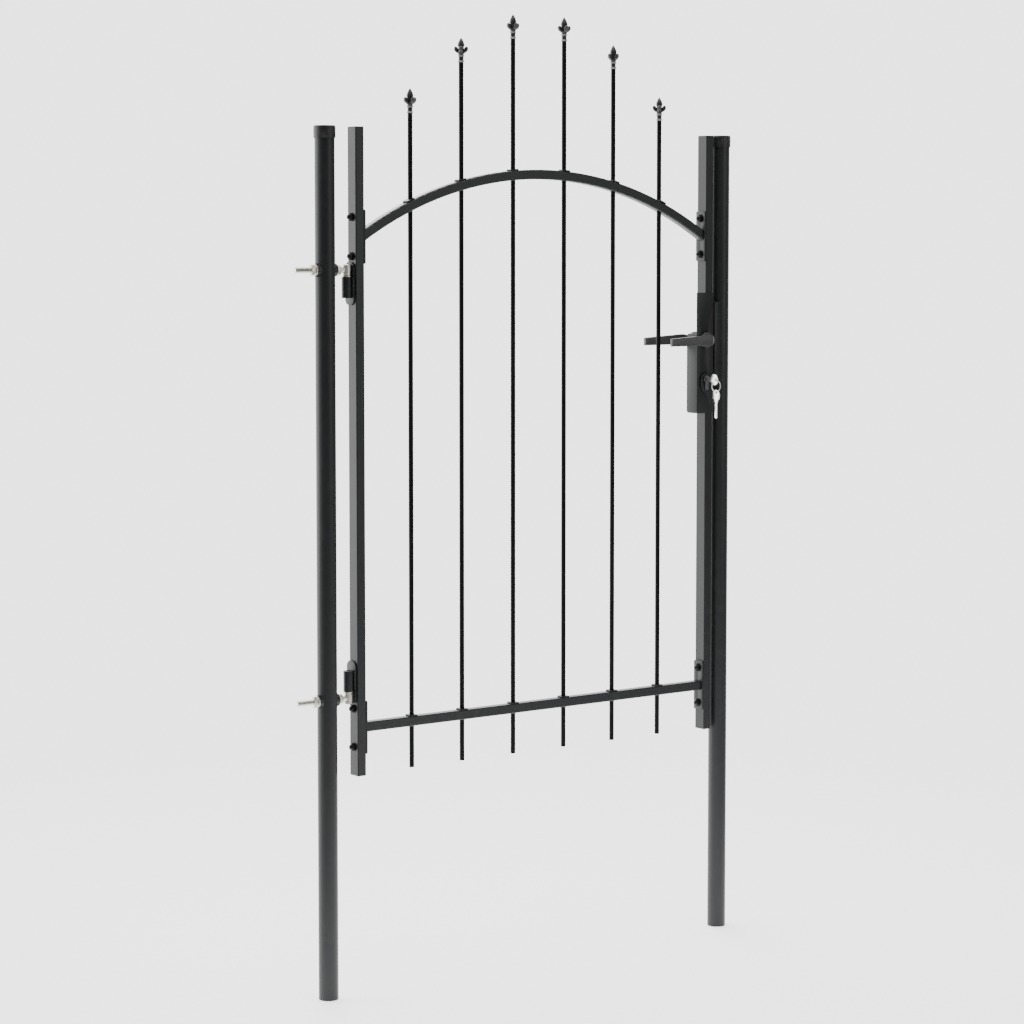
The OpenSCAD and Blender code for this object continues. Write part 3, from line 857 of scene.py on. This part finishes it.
class GATE_OT_spear_heads(bpy.types.Operator):
    """Casts the spear heads: a bud, scrolled leaves, a cup and a ringed socket"""

    bl_idname = "gate.spear_heads"
    bl_label = "Spear heads"

    def execute(self, context):
        look = context.scene.gate_looks
        shapes = context.scene.gate_shapes
        model = self.model(shapes)
        # How far each head is turned on its bar, in degrees
        turns = (0, -37, -2, -11, 7, -37)
        for place, turn in enumerate(turns, 1):
            node = f"spear_head_{place}"
            low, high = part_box(node)
            axis_x = (low[0] + high[0]) / 2
            piece = copy_of(model, f"cast_spear_{place}")
            only(piece)
            bpy.ops.transform.rotate(
                value=-math.radians(turn),
                orient_axis="Z",
                center_override=(0, 0, 0),
            )
            piece.location = (axis_x, (low[1] + high[1]) / 2, high[2])
            settle(piece)
            dress(piece, coating("cast_coat", look))
            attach(piece, BODY_OF[node])
            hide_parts(node)
        bpy.data.objects.remove(model)
        return {"FINISHED"}

    def model(self, shapes):
        """One spear head with its tip at the origin."""
        mm = 0.001
        reach = shapes.petal_reach / mm
        # Radius and height of the core's outline, from the tip down: bud, cup, ringed socket
        core = [
            (0, 0), (1.0, -0.8), (2.5, -3.0), (4.2, -6.2), (5.7, -9.6), (6.7, -12.6),
            (7.1, -14.8), (7.0, -16.2), (6.4, -17.4), (5.7, -18.6), (5.6, -20.4),
            (6.0, -23.0), (6.6, -26.0), (7.0, -28.4), (7.1, -29.8), (7.0, -31.0),
            (6.3, -32.0), (5.5, -33.4), (5.1, -34.4), (6.1, -34.8), (6.5, -36.2),
            (6.5, -37.0), (6.1, -38.4), (5.15, -38.8), (5.15, -45.8), (6.1, -46.2),
            (6.5, -47.4), (6.5, -48.4), (6.1, -49.6), (5.2, -50.0), (0, -50.0),
        ]
        body = spun("bud", [(radius * mm, height * mm) for radius, height in core], 40)
        smooth(body, 50.0)
        leaves = [self.leaf(shapes)]
        for turn in range(1, shapes.petal_count):
            twin = copy_of(leaves[0], f"leaf_{turn}")
            twin.rotation_euler.z = math.tau * turn / shapes.petal_count
            settle(twin)
            leaves.append(twin)
        whole = joined([body] + leaves, "spear_model")
        self.mark_painted_highlight(whole, reach, mm)
        return whole

    def mark_painted_highlight(self, whole, reach, mm):
        """Marks each point's painted highlight, stored as rub: the rings fully, the lobes towards
        their edge.
        """
        ring_radius = 5.9
        upper_ring = (-38.6, -34.6)
        lower_ring_top = -46.0
        lobe_band = 2.6
        lobe_gain = 0.12
        lobe_limit = 0.35
        # The rub attribute holds the painted highlight of the rings and lobe edges
        rub = whole.data.attributes.new("rub", "FLOAT", "POINT")
        for point in whole.data.vertices:
            out, z = point.co.xy.length / mm, point.co.z / mm
            on_upper = upper_ring[0] < z < upper_ring[1]
            on_ring = out > ring_radius and (on_upper or z < lower_ring_top)
            on_lobe = max(0.0, out - reach + lobe_band) * lobe_gain
            rub.data[point.index].value = 1.0 if on_ring else min(lobe_limit, on_lobe)

    def leaf(self, shapes):
        """A solid lobe that rises from the cup, bows outwards and curls back at its top."""
        mm = 0.001
        reach = shapes.petal_reach / mm
        sides = 12
        groove_depth = 0.7
        # Radius, height, half thickness and half width of the lobe, from the cup to the curl
        path = [
            (3.4, -30.4, 2.8, 2.8), (6.0, -28.8, 3.9, 3.8), (8.6, -26.4, 4.5, 4.7),
            (reach - 4.6, -23.8, 4.8, 5.0), (reach - 4.1, -21.4, 4.4, 4.7),
            (reach - 3.6, -19.2, 3.3, 3.7), (reach - 3.7, -17.7, 1.8, 2.2),
        ]
        points = []
        for place, (x, z, thick, wide) in enumerate(path):
            before = Vector(path[max(0, place - 1)][:2])
            after = Vector(path[min(len(path) - 1, place + 1)][:2])
            along = (after - before).normalized()
            across = Vector((-along.y, along.x))
            for side in range(sides):
                angle = math.tau * side / sides
                off = across * (thick * math.cos(angle))
                # A shallow groove runs up the middle of the outer face
                if side == sides // 2:
                    off += across * groove_depth
                y = wide * math.sin(angle)
                points.append(((x + off.x) * mm, y * mm, (z + off.y) * mm))
        piece = tube("leaf", points, sides)
        finer = piece.modifiers.new("finer", "SUBSURF")
        finer.levels = finer.render_levels = 2
        apply_modifiers(piece)
        smooth(piece, 70.0)
        return piece


def bead(name, start, end, width, ripple=0.0011):
    """A weld bead: overlapping ripples along a straight line, half sunk in its seam."""
    sides = 10
    valley = 0.80
    tapered_end = 0.35
    start, end = Vector(start), Vector(end)
    along = end - start
    steps = 2 * max(3, int(along.length / ripple))
    direction = along.normalized()
    side = direction.orthogonal().normalized()
    up = direction.cross(side)
    points = []
    for ring in range(steps + 1):
        swell = 1.0 if ring % 2 else valley
        wander = 0.06 * math.sin(ring * 1.7) + 0.05 * math.sin(ring * 0.61)
        taper = tapered_end if ring in (0, steps) else 1.0
        radius = width / 2 * (swell + wander) * taper
        centre = start + along * (ring / steps)
        for place in range(sides):
            angle = math.tau * place / sides
            points.append(centre + (side * math.cos(angle) + up * math.sin(angle)) * radius)
    return tube(name, points, sides)


def ring_bead(name, centre, radius, width):
    """A fillet weld round a bar where it meets a rail."""
    bpy.ops.object.select_all(action="DESELECT")
    bpy.ops.mesh.primitive_torus_add(
        major_radius=radius,
        minor_radius=width / 2,
        major_segments=44,
        minor_segments=8,
        location=(0, 0, 0),
    )
    piece = bpy.context.active_object
    piece.name = piece.data.name = name
    edit(piece)
    shape = bmesh.from_edit_mesh(piece.data)
    for point in shape.verts:
        turn = math.atan2(point.co.y, point.co.x)
        swell = 1.0 + 0.16 * math.sin(turn * 11.0) + 0.07 * math.sin(turn * 4.0 + 1.0)
        ring = Vector((math.cos(turn), math.sin(turn), 0)) * radius
        point.co = ring + (point.co - ring) * swell
    bmesh.update_edit_mesh(piece.data)
    done()
    piece.location = centre
    settle(piece)
    return piece


class GATE_OT_welds(bpy.types.Operator):
    """Lays weld beads on the hinge barrels, the bars and the keep"""

    bl_idname = "gate.welds"
    bl_label = "Weld beads"

    def execute(self, context):
        look = context.scene.gate_looks
        width = context.scene.gate_shapes.bead_width
        for level in ("lower", "upper"):
            self.lay(self.barrel_beads(level, width), f"{level}_barrel_welds", look)
        self.lay(self.bar_beads(), "bar_welds", look)
        self.lay(self.keep_beads(width), "keep_welds", look, body="posts")
        return {"FINISHED"}

    def barrel_beads(self, level, width):
        """Two upright beads where a hinge barrel meets its tab."""
        seam_y = 0.0086
        low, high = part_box(f"{level}_hinge_barrel")
        seam_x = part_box(f"{level}_hinge_tab")[0][0] - width * 0.1
        inset = width * 0.6
        return [
            bead(
                f"{level}_bead_{n}",
                (seam_x, y, low[2] + inset),
                (seam_x, y, high[2] - inset),
                width * 1.25,
                ripple=0.0019,
            )
            for n, y in enumerate((-seam_y, seam_y))
        ]

    def bar_beads(self):
        """Rings round the bars on the underside of the bottom rail."""
        radius = 0.0054
        width = 0.0022
        below = 0.0002
        rail_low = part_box("bottom_rail")[0]
        beads = []
        for place in range(1, 7):
            low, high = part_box(f"bar_{place}")
            centre = ((low[0] + high[0]) / 2, 0, rail_low[2] - below)
            beads.append(ring_bead(f"under_{place}", centre, radius, width))
        return beads

    def keep_beads(self, width):
        """Three short beads down each side of the keep, where it meets the post."""
        from_post_side = 0.0028
        from_edge = 0.0006
        low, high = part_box("keep")
        seam_x = high[0] - from_post_side
        tall = high[2] - low[2]
        beads = []
        for n, y in enumerate((low[1] + from_edge, high[1] - from_edge)):
            for part, (begin, end) in enumerate(((0.08, 0.24), (0.44, 0.58), (0.78, 0.93))):
                beads.append(
                    bead(
                        f"keep_bead_{n}_{part}",
                        (seam_x, y, low[2] + begin * tall),
                        (seam_x, y, low[2] + end * tall),
                        width * 0.7,
                    )
                )
        return beads

    def lay(self, beads, name, look, body="leaf"):
        """Joins beads into one piece that rides on a body."""
        whole = joined(beads, name)
        smooth(whole, 60.0)
        dress(whole, coating("cast_coat", look))
        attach(whole, body)


class GATE_OT_stage(bpy.types.Operator):
    """Sets the plain pale floor, the soft lights and the camera"""

    bl_idname = "gate.stage"
    bl_label = "Stage"

    def execute(self, context):
        stage = context.scene.gate_stage
        self.floor(stage)
        self.room(context, stage)
        self.lights(context)
        self.camera(context, stage)
        return {"FINISHED"}

    def floor(self, stage):
        """A disc just under the posts' feet, which fades out towards its edge."""
        fade_from = 0.7
        fade_to = 2.6
        bpy.ops.object.select_all(action="DESELECT")
        bpy.ops.mesh.primitive_circle_add(
            vertices=96, radius=4.0, fill_type="NGON", location=(0.5, 0, -0.0005)
        )
        floor = bpy.context.active_object
        floor.name = "floor"
        f = Finish("floor")
        mottle = f.noise(1.3, detail=3.0)
        from_middle = f.node("ShaderNodeVectorMath", {"operation": "LENGTH"}, Vector=f.place)
        dress(
            floor,
            f.finish(
                Base_Color=f.blend(
                    mottle, tinted(stage.floor_colour, 0.99), solid(stage.floor_colour)
                ),
                Roughness=0.95,
                Emission_Color=solid((1.0, 1.0, 1.0)),
                Emission_Strength=stage.floor_glow,
                Alpha=f.ramp(from_middle["Value"], fade_from, fade_to, 1.0, 0.0),
                Specular_IOR_Level=0.1,
            ),
        )

    def room(self, context, stage):
        """Room light that grows towards the far side, and a plain backdrop for the camera."""
        world = bpy.data.worlds.new("studio")
        world.use_nodes = True
        tree = world.node_tree
        room = tree.nodes["Background"]
        room.inputs["Color"].default_value = (1.0, 1.0, 1.0, 1.0)
        direction = tree.nodes.new("ShaderNodeTexCoord")
        split = tree.nodes.new("ShaderNodeSeparateXYZ")
        tree.links.new(direction.outputs["Generated"], split.inputs[0])
        behind = tree.nodes.new("ShaderNodeMapRange")
        for socket, value in (
            ("From Min", -0.15),
            ("From Max", 0.7),
            ("To Min", stage.room_front),
            ("To Max", stage.room_back),
        ):
            behind.inputs[socket].default_value = value
        tree.links.new(split.outputs["Y"], behind.inputs["Value"])
        tree.links.new(behind.outputs["Result"], room.inputs["Strength"])
        backdrop = tree.nodes.new("ShaderNodeBackground")
        backdrop.inputs["Strength"].default_value = stage.backdrop
        path = tree.nodes.new("ShaderNodeLightPath")
        mix = tree.nodes.new("ShaderNodeMixShader")
        tree.links.new(path.outputs["Is Camera Ray"], mix.inputs[0])
        tree.links.new(room.outputs[0], mix.inputs[1])
        tree.links.new(backdrop.outputs[0], mix.inputs[2])
        tree.links.new(mix.outputs[0], tree.nodes["World Output"].inputs["Surface"])
        context.scene.world = world

    def lights(self, context):
        """Square soft lights: name, place, the point each faces, width in metres, watts."""
        for name, place, aim, size, power in (
            ("left_soft", (-3.2, 3.6, 1.6), (0.3, 0, 1.1), 3.2, 60),
            ("back_high", (1.9, 4.2, 4.4), (0.5, 0, 1.2), 2.6, 150),
            ("high_soft", (0.4, -0.6, 5.0), (0.5, 0, 1.0), 3.0, 150),
            ("front_soft", (2.6, -4.6, 2.2), (0.5, 0, 1.1), 3.0, 42),
        ):
            light = bpy.data.lights.new(name, "AREA")
            light.shape = "SQUARE"
            light.size = size
            light.energy = power
            lamp = bpy.data.objects.new(name, light)
            lamp.location = place
            lamp.rotation_euler = (
                (Vector(aim) - Vector(place)).to_track_quat("-Z", "Y").to_euler()
            )
            context.scene.collection.objects.link(lamp)

    def camera(self, context, stage):
        """A long lens, some way in front of the gate and to its left."""
        data = bpy.data.cameras.new("view")
        data.lens = stage.camera_lens
        data.sensor_width = 36.0
        data.shift_y = -0.06
        data.clip_end = 100
        camera = bpy.data.objects.new("view", data)
        camera.location = (-3.0743, -4.7409, stage.camera_height)
        camera.rotation_euler = (math.pi / 2 - stage.camera_tip, 0, -stage.camera_turn)
        context.scene.collection.objects.link(camera)
        context.scene.camera = camera


class GATE_PT_finish(bpy.types.Panel):
    """Lists the gate's finishing steps"""

    bl_label = "Garden gate"
    bl_idname = "GATE_PT_finish"
    bl_space_type = "VIEW_3D"
    bl_region_type = "UI"
    bl_category = "Gate"

    def draw(self, context):
        scene = context.scene
        column = self.layout.column(align=True)
        for step in STEPS:
            column.operator(step.bl_idname)
        for group in (scene.gate_looks, scene.gate_shapes, scene.gate_stage):
            box = self.layout.box()
            for key in group.bl_rna.properties.keys():
                if key not in ("rna_type", "name"):
                    box.prop(group, key)


STEPS = (
    GATE_OT_coat_frame,
    GATE_OT_eased_parts,
    GATE_OT_levers,
    GATE_OT_spear_heads,
    GATE_OT_welds,
    GATE_OT_stage,
)
GROUPS = {"gate_looks": GateLooks, "gate_shapes": GateShapes, "gate_stage": GateStage}


def register():
    for kind in (*GROUPS.values(), *STEPS, GATE_PT_finish):
        bpy.utils.register_class(kind)
    for name, kind in GROUPS.items():
        setattr(bpy.types.Scene, name, PointerProperty(type=kind))


def unregister():
    for name in GROUPS:
        delattr(bpy.types.Scene, name)
    for kind in reversed((*GROUPS.values(), *STEPS, GATE_PT_finish)):
        bpy.utils.unregister_class(kind)


def main():
    register()
    bpy.ops.gate.coat_frame()
    bpy.ops.gate.eased_parts()
    bpy.ops.gate.levers()
    bpy.ops.gate.spear_heads()
    bpy.ops.gate.welds()
    bpy.ops.gate.stage()


if __name__ == "__main__":
    main()
